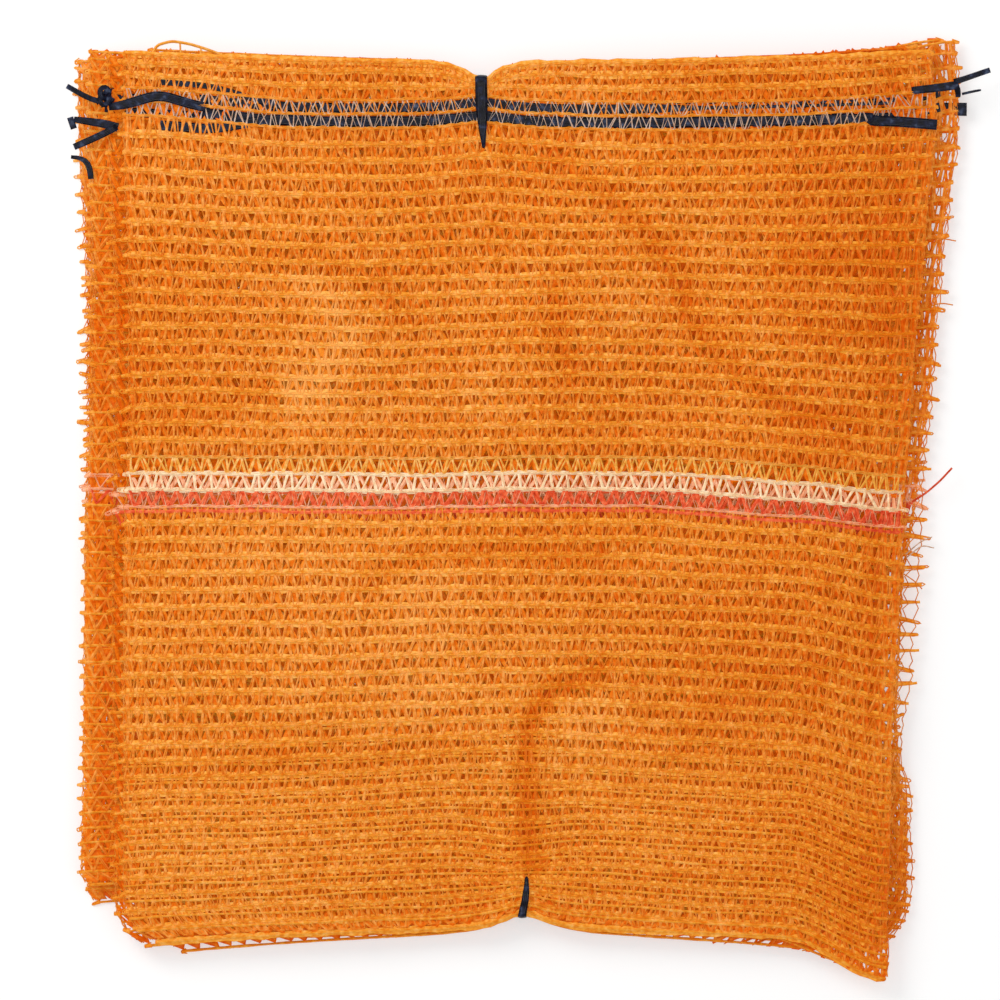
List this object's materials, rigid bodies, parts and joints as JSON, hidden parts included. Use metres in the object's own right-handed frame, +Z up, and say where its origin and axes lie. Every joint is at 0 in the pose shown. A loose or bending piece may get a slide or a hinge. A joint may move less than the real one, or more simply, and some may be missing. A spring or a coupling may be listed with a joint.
{
  "type": "raschel mesh bag bundle",
  "caption": "Flat tied bundle of empty orange knitted net bags for fruit and vegetables, with a light and red stripe across and navy drawstring tapes below the mouth.",
  "frame": {"origin": "on the table under the middle of the bundle's box", "axes": "+Z up, +Y from the foot of the bags to their mouths, +X to the right seen from above"},
  "size_m": [0.4626, 0.4724, 0.02],
  "materials": {
    "net": "open knitted net of narrow glossy plastic tapes, orange with a light and red stripe",
    "tape": "woven flat plastic tape, navy, slightly glossy"
  },
  "bodies": {
    "root": {"bag_1": "net", "bag_2": "net", "bag_3": "net", "bag_4": "net", "bag_5": "net", "bag_6": "net", "drawstring_upper_1": "tape", "drawstring_lower_1": "tape", "drawstring_upper_2": "tape", "drawstring_lower_2": "tape", "drawstring_upper_3": "tape", "drawstring_lower_3": "tape", "drawstring_upper_4": "tape", "drawstring_lower_4": "tape", "drawstring_upper_5": "tape", "drawstring_lower_5": "tape", "drawstring_upper_6": "tape", "drawstring_lower_6": "tape", "drawstring_end_folded": "tape", "drawstring_end_hooked": "tape", "tie_mouth": "tape", "tie_foot": "tape"}
  },
  "joints": []
}
